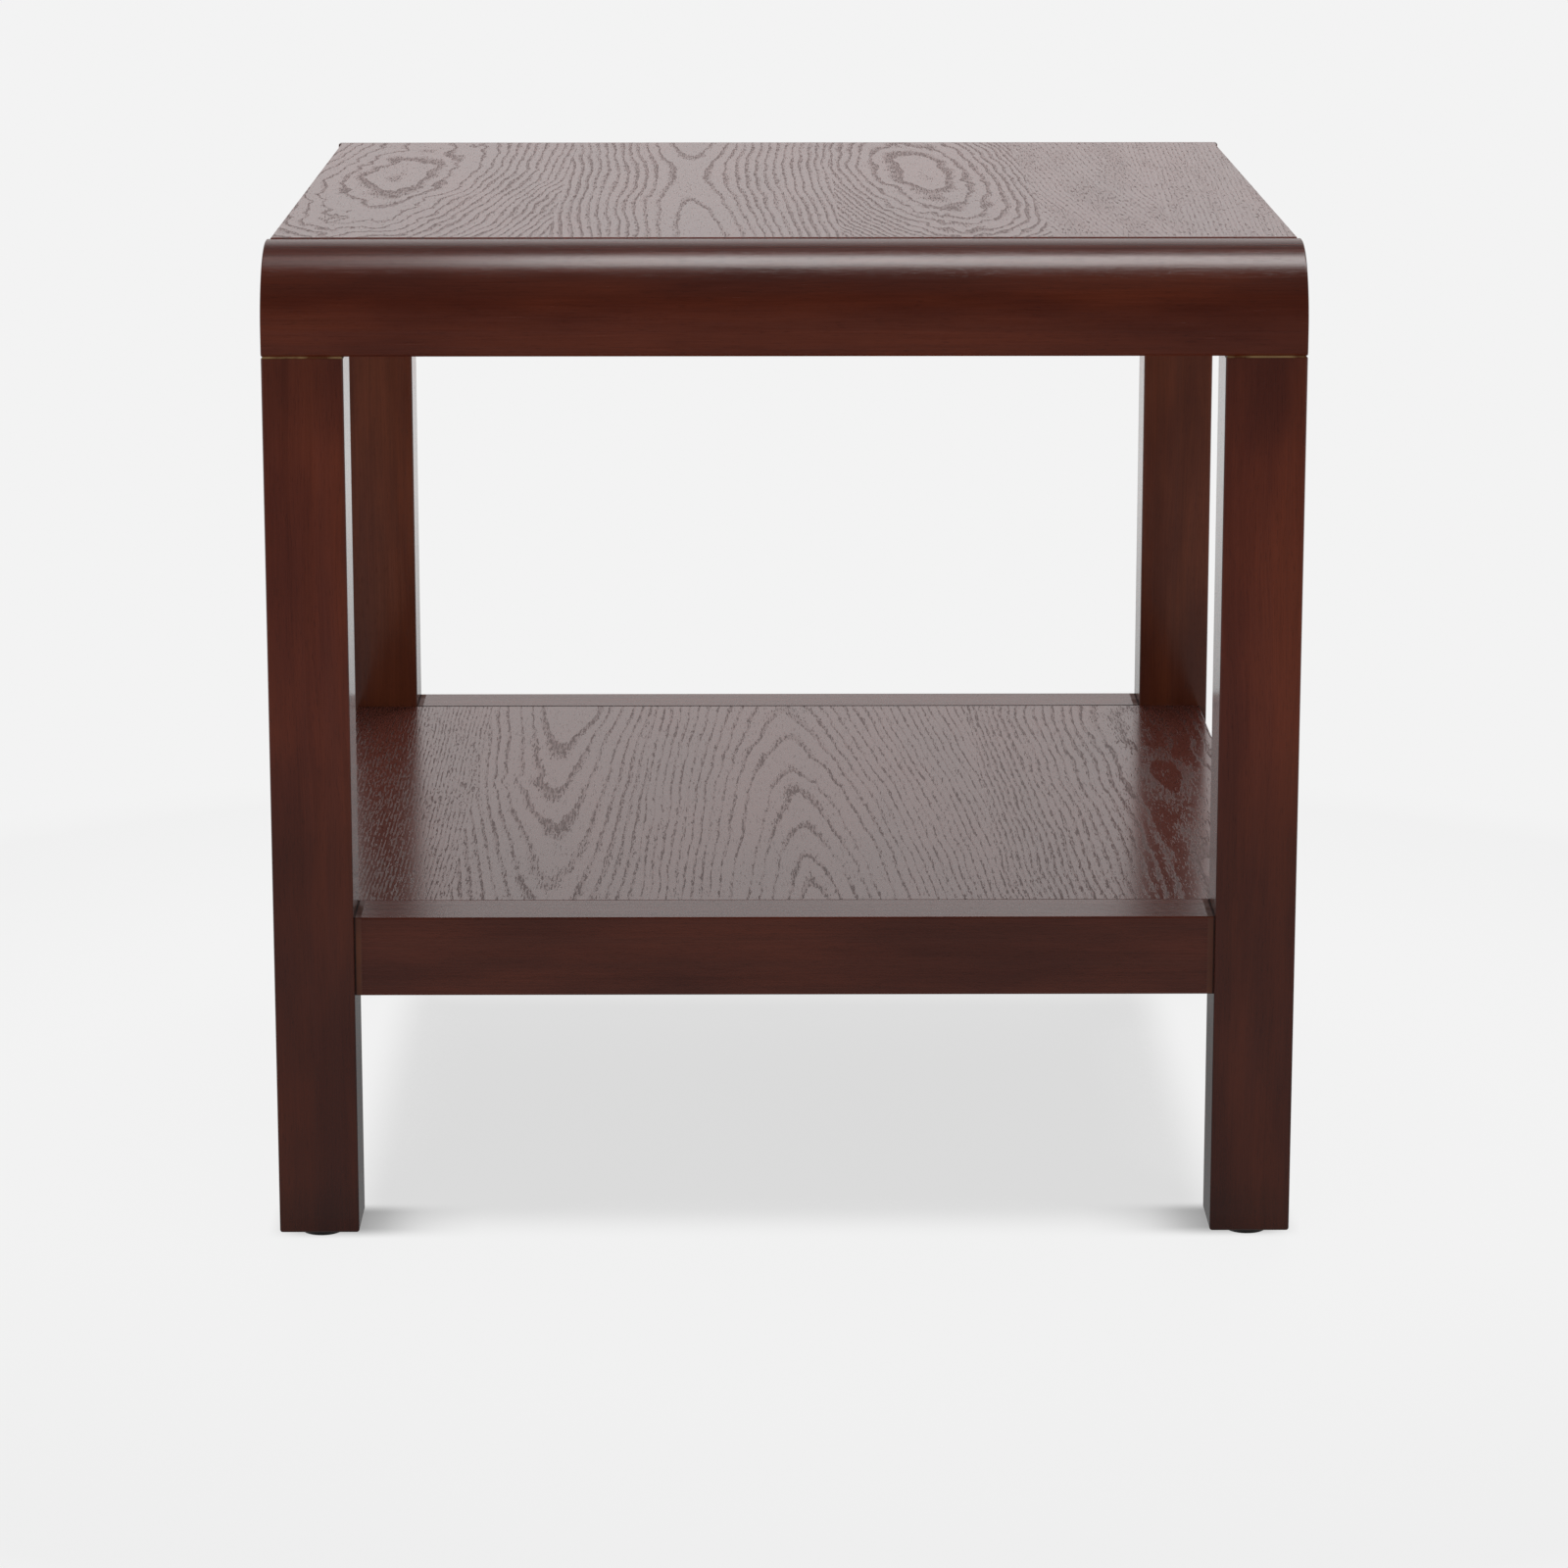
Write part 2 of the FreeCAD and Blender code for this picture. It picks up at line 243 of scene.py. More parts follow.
    def profile(self, value: Value, points: Points) -> Socket:
        """Reads a smooth curve drawn through given points.

        Args:
            value: Where the curve is read, within the points' range.
            points: (place, height) pairs in any unit, by rising place.

        Returns:
            The height of the curve.
        """
        places = [place for place, _ in points]
        heights = [height for _, height in points]
        low, high = min(heights), max(heights)
        reach = max(high - low, 1e-6)
        made = self.node("ShaderNodeFloatCurve")
        curve = made.mapping.curves[0]
        while len(curve.points) < len(points):
            curve.points.new(0.5, 0.5)
        length = places[-1] - places[0]
        for knot, (place, height) in zip(curve.points, points):
            knot.location = ((place - places[0]) / length, (height - low) / reach)
            knot.handle_type = "AUTO_CLAMPED"
        made.mapping.update()
        self.feed(made.inputs["Value"], self.ramp(value, 1.0 / length, -places[0] / length))
        return self.ramp(made.outputs[0], reach, low)

    def relief(self, height: Value, depth_mm: float, under: Socket | None = None) -> Socket:
        """Turns a height into a bump.

        Args:
            height: The height, from 0 to 1.
            depth_mm: How deep a full step is, in millimetres.
            under: A coarser bump that this one lies on.

        Returns:
            The bumped normal.
        """
        made = self.node("ShaderNodeBump")
        made.inputs["Strength"].default_value = 1.0
        made.inputs["Distance"].default_value = depth_mm / MM_PER_METRE
        self.feed(made.inputs["Height"], height)
        if under is not None:
            self.feed(made.inputs["Normal"], under)
        return made.outputs[0]

    def surface(
        self, colour: Shade, roughness: Value, normal: Socket | None = None, **fixed: object
    ) -> bpy.types.Material:
        """Ends the material with its shader.

        Args:
            colour: The base colour.
            roughness: How rough the surface is.
            normal: A bumped normal.
            **fixed: Values set on the shader's own sockets, with _ for each space in a name.

        Returns:
            The finished material.
        """
        shader = self.node("ShaderNodeBsdfPrincipled")
        self.feed(shader.inputs["Base Color"], colour)
        self.feed(shader.inputs["Roughness"], roughness)
        if normal is not None:
            self.feed(shader.inputs["Normal"], normal)
        for name, value in fixed.items():
            self.feed(shader.inputs[name.replace("_", " ")], value)
        self.feed(self.output.inputs["Surface"], shader.outputs[0])
        return self.owner


# Colours painted on wood that faces up, standing in for light from above: a paler, redder stain.
PAINTED_TOP_RED = (0.185, 0.044, 0.031)
PAINTED_TOP_DARK = (0.120, 0.030, 0.021)


@dataclass(frozen=True)
class Knot:
    """A small pin knot: its place and radius in millimetres, and how much flatter it lies along the rail.

    It turns the grain by push radii at its middle, and no more at reach radii.
    """

    x: float
    y: float
    z: float
    radius: float
    squash: float = 0.45
    reach: float = 1.6
    push: float = 5.0


@dataclass(frozen=True)
class WearAndShadowBand:
    """A strip where the stain was sanded away, or a painted shadow along a joint.

    It runs from start to end on its axis, in millimetres. Where it is least worn, it shows by that share of
    its strength.
    """

    axis: str
    start: float
    end: float
    colour: Colour
    strength: float
    least: float = 0.15
    both_sides: bool = False


@dataclass(frozen=True)
class StainedTimber:
    """Solid wood, stained dark reddish brown and lacquered.

    Where the wood faces up it is painted paler and redder by the share given, as painted light from above,
    and at each height in millimetres painted lighter or darker by the profile given, as painted light and
    shade.
    The grain wanders sideways by wander_mm. The bumps of the sanded skin and of the fibres are skin_mm and
    fibre_mm deep.
    """

    name: str
    grain: GrainAxis
    deep: Colour = (0.050, 0.0095, 0.0048)
    warm: Colour = (0.080, 0.0160, 0.0066)
    dull: Colour = (0.054, 0.0122, 0.0072)
    strength: float = 1.0
    seed: float = 0.0
    roughness: float = 0.13
    painted_top_light: float = 0.0
    streaky: float = 0.08
    bare_roughness: float = 0.85
    wander_mm: float = 14.0
    skin_mm: float = 0.035
    fibre_mm: float = 0.012
    knots: tuple[Knot, ...] = ()
    # Strips of bare wood, and painted shadows along joints.
    bare: tuple[WearAndShadowBand, ...] = ()
    painted_light_by_height: Points = ()

    def material(self) -> bpy.types.Material:
        """Builds the finish.

        Returns:
            The material.
        """
        g = ShaderGraph.named(self.name)
        first, second, along = (g.mm[axis] for axis in self.grain.value)
        for knot in self.knots:
            first = g.math("ADD", first, self.turn(g, knot))
        place = (first, second, along)
        wander = g.stretched(place, (26.0, 26.0, 240.0), self.seed + 3.1)
        first = g.ramp(wander, self.wander_mm, first)
        place = (first, second, along)
        clouds = g.stretched(place, (34.0, 34.0, 150.0), self.seed + 7.7, 3.0)
        bands = g.stretched(place, (6.5, 6.5, 420.0), self.seed + 11.3, 3.0)
        fibres = g.stretched(place, (0.9, 0.9, 46.0), self.seed + 19.9, 3.0)
        pores = g.stretched(place, (0.34, 0.34, 7.0), self.seed + 29.3, 1.0)
        colour = g.blend(g.span(clouds, 0.34, 0.66), self.deep, self.warm)
        colour = g.blend(g.span(bands, 0.40, 0.72, 0.0, 0.45), colour, self.dull)
        # Painted light from above: wood that faces up is painted paler and redder, streaked along the grain.
        facing = g.node("ShaderNodeSeparateXYZ")
        g.feed(facing.inputs[0], g.node("ShaderNodeNewGeometry").outputs["Normal"])
        upward = g.span(facing.outputs["Z"], 0.60, 0.98, 0.0, self.painted_top_light)
        streaks = g.stretched(place, (2.2, 2.2, 330.0), self.seed + 61.0, 2.0)
        painted_top_light = g.blend(g.span(streaks, 0.36, 0.64), PAINTED_TOP_RED, PAINTED_TOP_DARK)
        colour = g.blend(upward, colour, painted_top_light)
        tone = g.span(fibres, 0.25, 0.75, 0.91, 1.09)
        tone = g.times(tone, g.span(bands, 0.30, 0.46, 0.90, 1.0))
        open_pores = g.span(pores, 0.60, 0.70)
        tone = g.times(tone, g.ramp(open_pores, -0.24, 1.0))
        tone = g.times(tone, self.strength)
        # Painted light and shade: lighter or darker at each height, as the profile gives.
        if self.painted_light_by_height:
            low, high = self.painted_light_by_height[0][0], self.painted_light_by_height[-1][0]
            tone = g.times(tone, g.profile(g.held(g.mm["Z"], low, high), self.painted_light_by_height))
        colour = g.scaled(colour, tone)
        rough = g.ramp(fibres, self.streaky, self.roughness - self.streaky / 2.0)
        # Sanded strips show bare wood; joint strips get a painted shadow.
        for band in self.bare:
            worn = self.worn(g, band)
            colour = g.blend(worn, colour, band.colour)
            rough = g.choose(worn, rough, self.bare_roughness)
        skin = g.stretched(place, (5.0, 5.0, 38.0), self.seed + 41.0, 2.0)
        normal = g.relief(skin, self.skin_mm)
        normal = g.relief(g.minus(fibres, g.times(open_pores, 0.8)), self.fibre_mm, normal)
        return g.surface(colour, rough, normal, IOR=1.5)

    def turn(self, g: ShaderGraph, knot: Knot) -> Socket:
        """Bends the grain round a pin knot.

        Args:
            g: The material's nodes.
            knot: The knot.

        Returns:
            The shift across the grain, in millimetres.
        """
        off = g.point(
            g.ramp(g.mm["X"], knot.squash / knot.radius, -knot.squash * knot.x / knot.radius),
            g.ramp(g.mm["Y"], 1.0 / knot.radius, -knot.y / knot.radius),
            g.ramp(g.mm["Z"], 1.0 / knot.radius, -knot.z / knot.radius),
        )
        length = g.node("ShaderNodeVectorMath", operation="LENGTH")
        g.feed(length.inputs[0], off)
        return g.span(length.outputs["Value"], 0.0, knot.reach, knot.push * knot.radius, 0.0)

    def worn(self, g: ShaderGraph, band: WearAndShadowBand) -> Socket:
        """Masks the strip where the stain is sanded through, or where a joint's shadow is painted.

        Args:
            g: The material's nodes.
            band: The strip.

        Returns:
            How bare the wood is, or how much of the painted shadow shows, from 0 to 1.
        """
        place = g.math("ABSOLUTE", g.mm[band.axis]) if band.both_sides else g.mm[band.axis]
        middle = (band.start + band.end) / 2.0
        half = abs(band.end - band.start) / 2.0
        away = g.apart(place, middle)
        inside = g.span(away, half * 0.55, half * 1.05, 1.0, 0.0)
        patches = g.stretched(g.place, (16.0, 16.0, 16.0), self.seed + 53.0, 3.0)
        patchy = g.span(patches, 0.40, 0.58, band.least, 1.0)
        return g.times(g.times(inside, patchy), band.strength)


@dataclass(frozen=True)
class Pinch:
    """A small crease in the grain: where it is, how far it pushes the rings sideways, and its half sizes."""

    x: float
    y: float
    push: float
    width: float
    length: float


@dataclass(frozen=True)
class VeneerLeaf:
    """One sliced leaf of veneer, cut at some depth over the tree's pith.

    The leaf reaches from its left edge to the next one's. The pith's course and its depth go by Y, and the
    rings' count by how far out they are. The rings lie about the pith, so the slice shows arches where the
    depth rises or falls, closed islands where it is least, and an hourglass where it is greatest. All lengths
    are in millimetres.

    Warp, kinks, pinches, lumps and ragged edges push the rings about, less so beyond calm_from. The roundness
    is 2 for circular rings and less for arches that come to a point. The bands of pores take so much of each
    ring, more at the pith and at the arches' tips. From one bundle of rings to the next they go from their
    faintest, on wood that is itself so plainly pored, to their strongest.
    """

    left: float
    pith: Points
    depth: Points
    rings: Points
    warp: float = 3.0
    kinks: float = 1.2
    calm_from: float = 70.0
    pinches: tuple[Pinch, ...] = ()
    pore_band: float = 2.6
    pore_band_at_pith: float | None = None
    roundness: float = 2.0
    spread: float = 1.0
    lumps: float = 1.0
    faintest: float = 0.6
    strongest: float = 1.0
    plain: float = 0.08
    ragged: float = 1.0
    bundle: float = 1.6
    arch: float = 1.0


@dataclass(frozen=True)
class FiguredVeneer:
    """Ring-porous veneer with its grain front to back, stained, its pores left open under gloss lacquer.

    The pores are pore_mm deep. Their bands take at most widest_band of a ring, and the smooth wood between
    keeps the fewest pores. The grain's waves shove the figure along by up to half of shove_mm.
    """

    name: str
    leaves: tuple[VeneerLeaf, ...]
    half_depth: float
    smooth: Colour = (0.150, 0.036, 0.026)
    pored: Colour = (0.088, 0.025, 0.019)
    seed: float = 0.0
    gloss: float = 0.19
    open_gloss: float = 0.46
    pore_mm: float = 0.040
    fewest_pores: float = 0.05
    widest_band: float = 0.66
    shove_mm: float = 44.0

    def material(self) -> bpy.types.Material:
        """Builds the finish.

        Returns:
            The material.
        """
        g = ShaderGraph.named(self.name)
        crowding = self.crowding(g, self.leaves[0])
        for leaf in self.leaves[1:]:
            beyond = g.math("GREATER_THAN", g.mm["X"], leaf.left)
            crowding = g.choose(beyond, crowding, self.crowding(g, leaf))
        dashes = g.stretched(g.place, (0.90, 12.0, 50.0), self.seed + 71.0, 0.0)
        specks = g.stretched(g.place, (0.50, 5.0, 50.0), self.seed + 77.0, 0.0)
        dashes = g.ramp(specks, 0.45, g.times(dashes, 0.55))
        threshold = g.ramp(crowding, -0.17, 0.635)
        pores = g.span(g.minus(dashes, threshold), -0.02, 0.05)
        pores = g.times(pores, g.span(crowding, 0.0, 0.15, 0.25, 1.0))
        broad = g.stretched(g.place, (34.0, 240.0, 50.0), self.seed + 91.0, 2.0)
        colour = g.blend(pores, self.smooth, self.pored)
        colour = g.blend(g.span(broad, 0.3, 0.7, 0.0, 0.4), colour, self.pored)
        scatter = g.math("MAXIMUM", g.times(pores, 0.85), g.times(crowding, 0.34))
        rough = g.choose(scatter, self.gloss, self.open_gloss)
        height = g.minus(1.0, g.ramp(pores, 0.85, g.times(crowding, 0.15)))
        return g.surface(colour, rough, g.relief(height, self.pore_mm), IOR=1.5)

    def crowding(self, g: ShaderGraph, leaf: VeneerLeaf) -> Socket:
        """Tells how close together a leaf's open pores lie.

        Args:
            g: The material's nodes.
            leaf: The leaf.

        Returns:
            1 at the sharp inner edge of each ring's band of pores, and 0 in the smooth wood between bands.
        """
        rings, band = self.rings(g, leaf)
        through = g.math("DIVIDE", g.math("FRACT", rings), band)
        crowding = g.times(g.span(through, 0.0, 0.10), g.span(through, 0.30, 1.15, 1.0, 0.0))
        seed = self.seed + leaf.left * 0.013 + 31.0
        veil = g.stretched((rings, g.mm["Y"], 0.0), (leaf.bundle, 120.0, 1.0), seed, 2.0)
        faint = g.ramp(crowding, leaf.faintest, leaf.plain)
        crowding = g.choose(g.span(veil, 0.36, 0.58), faint, g.times(crowding, leaf.strongest))
        return g.math("MAXIMUM", crowding, self.fewest_pores)

    def rings(self, g: ShaderGraph, leaf: VeneerLeaf) -> tuple[Socket, Socket]:
        """Counts growth rings out from a leaf's pith.

        Args:
            g: The material's nodes.
            leaf: The leaf.

        Returns:
            The number of rings out to this place, and the share of each ring here that the open pores take.
        """
        seed = self.seed + leaf.left * 0.013
        wave = g.swing(g.place, (26.0, 90.0, 90.0), seed, 1.0)
        kink = g.swing(g.place, (8.0, 24.0, 90.0), seed + 5.0, 2.0)
        shove = g.swing(g.place, (10.0, 60.0, 90.0), seed + 9.0, 2.0)
        limit = self.half_depth
        off_pith = g.apart(g.mm["X"], g.profile(g.held(g.mm["Y"], -limit, limit), leaf.pith))
        calm = g.span(off_pith, 8.0, leaf.calm_from, 1.0, 0.22)
        x = g.ramp(wave, 2.0 * leaf.warp, g.mm["X"])
        x = g.ramp(g.times(kink, calm), 2.0 * leaf.kinks, x)
        for pinch in leaf.pinches:
            across = g.span(g.apart(g.mm["X"], pinch.x), 0.0, pinch.width, 1.0, 0.0)
            down = g.span(g.apart(g.mm["Y"], pinch.y), 0.0, pinch.length, 1.0, 0.0)
            x = g.ramp(g.times(across, down), pinch.push, x)
        y = g.held(g.ramp(g.times(shove, calm), self.shove_mm, g.mm["Y"]), -limit, limit)
        depth = g.profile(y, leaf.depth)
        away = g.apart(x, g.profile(y, leaf.pith))
        away = g.math("POWER", g.times(away, leaf.spread), leaf.roundness)
        depth = g.math("POWER", g.math("ABSOLUTE", depth), leaf.roundness)
        radius = g.math("POWER", g.math("ADD", away, depth), 1.0 / leaf.roundness)
        uneven = g.swing((radius, 0.0, 0.0), (9.0, 9.0, 9.0), seed + 13.0, 1.0)
        radius = g.ramp(uneven, 2.0, radius)
        lumps = g.swing(g.place, (24.0, 62.0, 90.0), seed + 21.0, 2.0)
        radius = g.ramp(g.times(lumps, calm), 2.0 * leaf.lumps, radius)
        frayed = g.swing(g.place, (0.9, 10.0, 90.0), seed + 17.0, 1.0)
        frayed = g.times(frayed, g.ramp(calm, 0.80, 0.20))
        radius = g.ramp(frayed, 2.0 * leaf.ragged, radius)
        count = g.profile(radius, leaf.rings)
        further = g.profile(g.math("ADD", radius, 1.0), leaf.rings)
        slope = g.math("MAXIMUM", g.minus(further, count), 0.03)
        at_pith = leaf.pore_band if leaf.pore_band_at_pith is None else leaf.pore_band_at_pith
        band = g.span(radius, 12.0, 42.0, at_pith, leaf.pore_band)
        band = g.times(band, g.span(off_pith, 6.0, 34.0, leaf.arch, 1.0))
        uneven_band = g.stretched(g.place, (22.0, 70.0, 90.0), seed + 25.0, 1.0)
        band = g.times(band, g.span(uneven_band, 0.32, 0.68, 0.7, 1.3))
        return count, g.math("MINIMUM", g.times(slope, band), self.widest_band)


@dataclass(frozen=True)
class BareTimber:
    """Planed or turned wood with no finish on it."""

    name: str
    pale: Colour
    brown: Colour
    grain: GrainAxis = GrainAxis.ACROSS_TABLE
    seed: float = 0.0

    def material(self) -> bpy.types.Material:
        """Builds the finish.

        Returns:
            The material.
        """
        g = ShaderGraph.named(self.name)
        place = tuple(g.mm[axis] for axis in self.grain.value)
        rings = g.stretched(place, (3.2, 3.2, 90.0), self.seed + 2.0, 2.0)
        flecks = g.stretched(place, (0.5, 0.5, 3.5), self.seed + 4.0, 2.0)
        saw = g.stretched(place, (6.0, 6.0, 0.9), self.seed + 8.0, 1.0)
        colour = g.blend(g.span(rings, 0.35, 0.65), self.pale, self.brown)
        colour = g.blend(g.span(flecks, 0.58, 0.72, 0.0, 0.4), colour, self.brown)
        height = g.ramp(saw, 0.4, g.times(flecks, 0.6))
        rough = g.span(flecks, 0.3, 0.7, 0.62, 0.78)
        return g.surface(colour, rough, g.relief(height, 0.05))


@dataclass(frozen=True)
class StainedBoard:
    """Pressed fibre board, sprayed with the same stain on its hidden faces."""

    name: str
    body: Colour = (0.088, 0.036, 0.024)
    fleck: Colour = (0.120, 0.058, 0.038)
    blotch: Colour = (0.050, 0.018, 0.012)

    def material(self) -> bpy.types.Material:
        """Builds the finish.

        Returns:
            The material.
        """
        g = ShaderGraph.named(self.name)
        fibres = g.stretched(g.place, (1.4, 1.4, 0.5), 5.0, 4.0)
        mottle = g.stretched(g.place, (30.0, 38.0, 30.0), 15.0, 3.0)
        sanding = g.stretched(g.place, (0.6, 60.0, 30.0), 25.0, 2.0)
        colour = g.blend(g.span(fibres, 0.45, 0.75, 0.0, 0.7), self.body, self.fleck)
        colour = g.blend(g.span(mottle, 0.3, 0.7, 0.0, 0.35), colour, self.blotch)
        height = g.ramp(sanding, 0.5, fibres)
        return g.surface(colour, g.span(mottle, 0.3, 0.7, 0.44, 0.60), g.relief(height, 0.05))


@dataclass(frozen=True)
class PlatedSteel:
    """Steel of the screws or nails, drawn and plated."""

    name: str
    bright: Colour
    dark: Colour
    roughness: float

    def material(self) -> bpy.types.Material:
        """Builds the finish.

        Returns:
            The material.
        """
        g = ShaderGraph.named(self.name)
        tarnish = g.stretched(g.place, (2.6, 2.6, 2.6), 3.0, 4.0)
        brushed = g.stretched(g.place, (2.0, 2.0, 0.16), 6.0, 2.0)
        colour = g.blend(g.span(tarnish, 0.35, 0.70), self.bright, self.dark)
        rough = g.span(brushed, 0.3, 0.7, self.roughness - 0.07, self.roughness + 0.09)
        return g.surface(colour, rough, g.relief(brushed, 0.01), Metallic=1.0)


@dataclass(frozen=True)
class MouldedNylon:
    """Black moulded plastic of the glides, with a fine spark-eroded grain."""

    name: str
    colour: Colour = (0.008, 0.006, 0.006)
    scuffed: Colour = (0.030, 0.028, 0.027)

    def material(self) -> bpy.types.Material:
        """Builds the finish.

        Returns:
            The material.
        """
        g = ShaderGraph.named(self.name)
        grain = g.stretched(g.place, (0.22, 0.22, 0.22), 2.0, 2.0)
        scuffs = g.stretched(g.place, (5.0, 0.7, 3.0), 9.0, 3.0)
        sole = g.span(g.mm["Z"], 0.2, 1.1, 0.6, 0.0)
        worn = g.times(g.span(scuffs, 0.52, 0.66), sole)
        colour = g.blend(worn, self.colour, self.scuffed)
        rough = g.span(grain, 0.3, 0.7, 0.38, 0.50)
        return g.surface(colour, rough, g.relief(grain, 0.02))


def dress(nodes: tuple[str, ...], material: bpy.types.Material) -> None:
    """Gives CAD nodes their finish.

    Args:
        nodes: The nodes' names.
        material: The finish.
    """
    for name in nodes:
        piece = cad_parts[name]
        for slot in piece.material_slots:
            slot.material = material
        LOG.info("%s: dressed in %s", name, material.name)


RAW_TAN = (0.235, 0.150, 0.062)
# Near-black painted shade, for the shadow in joints and seams.
JOINT_SHADOW = (0.012, 0.005, 0.004)
RUBBED_BROWN = (0.095, 0.030, 0.012)


@dataclass
class Legs:
    """The four square legs. Their top chamfer is sanded through to bare wood in places."""

    bare_z: Pair = (492.9, 494.3)
    back_painted_lighter: float = 1.36
    # Painted light and shade by height: darkest at the foot, dim to above the shelf, lightest midway.
    painted_light_by_height: Points = (
        (0.0, 0.50), (22.0, 0.58), (49.0, 0.74), (103.0, 0.76), (157.0, 0.75), (211.0, 0.75),
        (238.0, 0.84), (265.0, 0.98), (319.0, 1.16), (373.0, 1.11), (427.0, 1.12), (454.0, 0.99),
        (481.0, 0.87), (494.0, 0.84),
    )

    def build(self) -> None:
        """Dresses the front legs, then the back legs in a copy of their finish painted lighter, as painted
        light.
        """
        worn = WearAndShadowBand("Z", *self.bare_z, RAW_TAN, 0.85)
        front = StainedTimber("leg_wood", GrainAxis.UPRIGHT, seed=1.0, bare=(worn,), painted_light_by_height=self.painted_light_by_height)
        # The back legs' copy is painted lighter and less red, standing in for the light that reaches them.
        back = replace(
            front,
            name="back_leg_wood_painted_lighter",
            deep=(0.050, 0.0120, 0.0062), warm=(0.080, 0.0200, 0.0088), dull=(0.054, 0.0150, 0.0090),
            seed=2.0,
            strength=self.back_painted_lighter,
        )
        for finish, row in ((front, "front"), (back, "back")):
            dress(tuple(f"leg_{place}" for place in LEG_PLACES if row in place), finish.material())


@dataclass
class TableTop:
    """The two rounded rails, the veneered panel between them, and what holds them underneath."""

    half_depth: float = 255.0

    def build(self) -> None:
        """Dresses the rails, the panel, the aprons and the corner blocks."""
        rail = StainedTimber(
            "top_rail_wood",
            GrainAxis.ACROSS_TABLE,
            deep=(0.050, 0.0083, 0.0034), warm=(0.080, 0.0142, 0.0048), dull=(0.054, 0.0108, 0.0052),
            seed=4.0, roughness=0.24, painted_top_light=0.6, streaky=0.14,
        )
        dress(("top_rail_front", "top_rail_back"), rail.material())
        side = StainedTimber("side_member_wood", GrainAxis.FRONT_TO_BACK, seed=8.0, roughness=0.30)
        dress(("apron_left", "apron_right", "shelf_bearer_left", "shelf_bearer_right"), side.material())
        lipping = StainedTimber("lipping_wood", GrainAxis.FRONT_TO_BACK, seed=12.0)
        dress(
            ("top_lipping_left", "top_lipping_right", "shelf_lipping_left", "shelf_lipping_right"),
            lipping.material(),
        )
        dress(("top_panel_core", "shelf_panel_core"), StainedBoard("board_core").material())
        dress(("top_panel_veneer",), self.veneer().material())
        block = BareTimber("block_wood", (0.62, 0.47, 0.31), (0.47, 0.32, 0.19), GrainAxis.UPRIGHT, 3.0)
        dress(tuple(f"corner_block_{place}" for place in LEG_PLACES), block.material())

    def veneer(self) -> FiguredVeneer:
        """Describes the top's leaves of veneer, the last in two parts, as its lines show only near the edge.

        Returns:
            The finish.
        """
        front, back = -self.half_depth, self.half_depth
        straight = ((front, 40.0), (0.0, 40.0), (back, 40.0))
        leaves = (
            VeneerLeaf(
                left=-280.0,
                pith=((front, -241.0), (-60.0, -234.0), (90.0, -226.0), (back, -218.0)),
                depth=(
                    (front, 57.0), (-223.0, 50.0), (-175.0, 40.0), (-74.0, 29.0), (-8.0, 16.0),
                    (75.0, 2.0), (137.0, 16.0), (back, 28.0),
                ),
                rings=(
                    (0.0, 0.35), (16.0, 1.0), (29.0, 2.0), (40.0, 3.0), (60.0, 6.0), (125.0, 19.0),
                    (170.0, 29.0),
                ),
                warp=4.0, kinks=3.4, calm_from=60.0, pore_band_at_pith=10.5, lumps=13.0, faintest=0.8,
            ),
            VeneerLeaf(
                left=-128.0,
                pith=((front, -45.0), (-60.0, -52.0), (90.0, -54.0), (back, -55.0)),
                depth=(
                    (front, 3.0), (-200.0, 6.0), (-79.0, 12.6), (60.0, 20.0), (181.0, 12.6),
                    (back, 4.0),
                ),
                rings=((0.0, 0.2), (12.6, 1.0), (22.0, 2.0), (50.0, 7.2), (90.0, 15.2), (130.0, 23.0)),
                warp=3.0, kinks=1.4, roundness=1.8,
            ),
            VeneerLeaf(
                left=31.0,
                pith=((front, 104.0), (-60.0, 92.0), (90.0, 84.0), (back, 80.0)),
                depth=(
                    (front, 52.0), (-192.0, 40.0), (-152.0, 33.0), (-92.0, 24.0), (-26.0, 13.0),
                    (70.0, 1.0), (163.0, 13.0), (226.0, 22.0), (back, 27.0),
                ),
                rings=(
                    (0.0, 0.3), (13.0, 1.0), (24.0, 2.0), (33.0, 3.0), (48.0, 5.5), (66.0, 10.0),
                    (120.0, 28.0),
                ),
                warp=3.5, kinks=3.4, calm_from=50.0, pore_band_at_pith=6.5, lumps=9.0, faintest=0.8,
            ),
            VeneerLeaf(
                left=146.0,
                pith=((front, 30.0), (0.0, 10.0), (back, 0.0)),
                depth=straight,
                rings=((80.0, 0.0), (190.0, 34.0), (205.0, 38.0), (240.0, 49.0), (300.0, 67.0)),
                warp=1.6, kinks=0.3, calm_from=9.0, pore_band=2.2, faintest=0.1, strongest=0.46,
                plain=0.34, ragged=0.2, bundle=5.0,
            ),
            VeneerLeaf(
                left=216.0,
                pith=((front, 6.0), (0.0, 16.0), (back, 25.0)),
                depth=straight,
                rings=((150.0, 0.0), (200.0, 17.0), (250.0, 34.0), (300.0, 52.0)),
                warp=0.7, kinks=0.2, calm_from=9.0, pore_band=1.5, faintest=0.26, strongest=0.44,
                plain=0.24, ragged=0.25, bundle=3.0,
            ),
        )
        return FiguredVeneer(
            "top_veneer",
            leaves,
            self.half_depth,
            smooth=(0.190, 0.045, 0.032), pored=(0.110, 0.031, 0.023), seed=2.0,
        )


